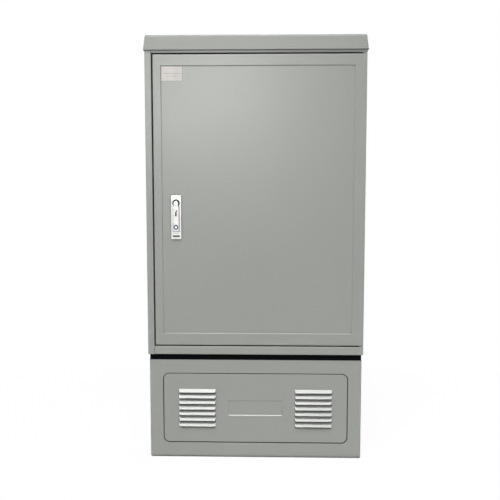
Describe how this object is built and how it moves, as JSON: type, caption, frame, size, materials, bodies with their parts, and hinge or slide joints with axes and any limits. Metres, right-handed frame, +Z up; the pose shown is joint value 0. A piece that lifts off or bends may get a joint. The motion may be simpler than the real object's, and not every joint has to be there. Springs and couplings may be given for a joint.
{
  "type": "roadside utility cabinet",
  "caption": "Outdoor street cabinet with a full-height door on hidden pivots, a swing-handle lock that drives locking bars, a louvred plinth and racks for patch panels.",
  "frame": {"origin": "on the ground, midway between the four anchor holes of the plinth", "axes": "+X to the right for someone facing the door, +Y from the door to the back, +Z up"},
  "size_m": [0.75, 0.3253, 1.45],
  "materials": {
    "body_paint": "satin powder coat",
    "black_packing": "matt",
    "zinc_steel": "zinc plated",
    "chrome_zinc": "bright plated",
    "key_brass": "worn",
    "blue_ring": "satin",
    "plate_enamel": "satin",
    "copper_alloy": "satin",
    "black_rubber": "matt",
    "black_plastic": "matt",
    "spool_plastic": "satin",
    "adapter_plastic": "satin",
    "insulator_red": "gloss",
    "pocket_plastic": "satin"
  },
  "bodies": {
    "body": {"plinth": "body_paint", "plinth_cover": "body_paint", "plinth_cover_clips": "zinc_steel", "packing_frame": "black_packing", "base_bolts": "zinc_steel", "side_panel_left": "body_paint", "side_panel_right": "body_paint", "header_rail": "body_paint", "sill_rail": "body_paint", "back_panel": "body_paint", "floor_panel": "body_paint", "top_panel": "body_paint", "roof_cap": "body_paint", "roof_cap_bolts": "zinc_steel", "hinge_pin_top": "zinc_steel", "hinge_pin_bottom": "zinc_steel", "rack_upright_left": "zinc_steel", "rack_upright_right": "zinc_steel", "rack_screws": "zinc_steel", "patch_panel_1": "zinc_steel", "patch_panel_2": "zinc_steel", "patch_panel_3": "zinc_steel", "adapter_field_1": "adapter_plastic", "adapter_field_2": "adapter_plastic", "adapter_field_3": "adapter_plastic", "fibre_spool_1": "spool_plastic", "fibre_spool_2": "spool_plastic", "fibre_spool_3": "spool_plastic", "cable_clamp_rail": "zinc_steel", "cable_clamp_1": "black_plastic", "cable_clamp_2": "black_plastic", "cable_clamp_3": "black_plastic", "earth_bar": "copper_alloy", "earth_bar_insulators": "insulator_red", "gland_plate": "zinc_steel", "gland_plate_screws": "zinc_steel", "cable_grommet_1": "black_rubber", "cable_grommet_2": "black_rubber", "cable_grommet_3": "black_rubber"},
    "door": {"door_panel": "body_paint", "door_gasket": "black_rubber", "door_stiffener_1": "zinc_steel", "door_stiffener_2": "zinc_steel", "hinge_sleeve_top": "black_plastic", "hinge_sleeve_bottom": "black_plastic", "document_pocket": "pocket_plastic", "name_plate": "plate_enamel", "lock_plate": "chrome_zinc", "lock_case": "zinc_steel", "bar_guide_upper": "black_plastic", "bar_guide_lower": "black_plastic"},
    "spindle": {"lock_spindle": "zinc_steel", "drive_pinion": "zinc_steel", "handle_pin": "zinc_steel"},
    "handle": {"swing_handle": "chrome_zinc", "key_barrel": "blue_ring"},
    "key": {"key_plug": "key_brass"},
    "upper_bar": {"locking_bar_upper": "zinc_steel"},
    "lower_bar": {"locking_bar_lower": "zinc_steel"}
  },
  "joints": [
    {"name": "door_hinge", "type": "hinge", "parent": "body", "child": "door", "pos_m": [0.361, -0.143, 0.89], "axis": [0, 0, 1], "range_deg": [0, 120]},
    {"name": "handle_turn", "type": "hinge", "parent": "door", "child": "spindle", "pos_m": [-0.2681, -0.156, 0.887], "axis": [0, -1, 0], "range_deg": [0, 90]},
    {"name": "handle_lift", "type": "hinge", "parent": "spindle", "child": "handle", "pos_m": [-0.2681, -0.1598, 0.887], "axis": [-1, 0, 0], "range_deg": [0, 30]},
    {"name": "key_turn", "type": "hinge", "parent": "handle", "child": "key", "pos_m": [-0.2681, -0.1643, 0.806], "axis": [0, 1, 0], "range_deg": [0, 90]},
    {"name": "upper_bar_slide", "type": "slide", "parent": "door", "child": "upper_bar", "axis": [0, 0, -1], "range_m": [0, 0.0213]},
    {"name": "lower_bar_slide", "type": "slide", "parent": "door", "child": "lower_bar", "axis": [0, 0, 1], "range_m": [0, 0.0213]}
  ],
  "couplings": [
    {"joint": "upper_bar_slide", "follows": "handle_turn", "m_per_rad": 0.0135},
    {"joint": "lower_bar_slide", "follows": "handle_turn", "m_per_rad": 0.0135}
  ]
}
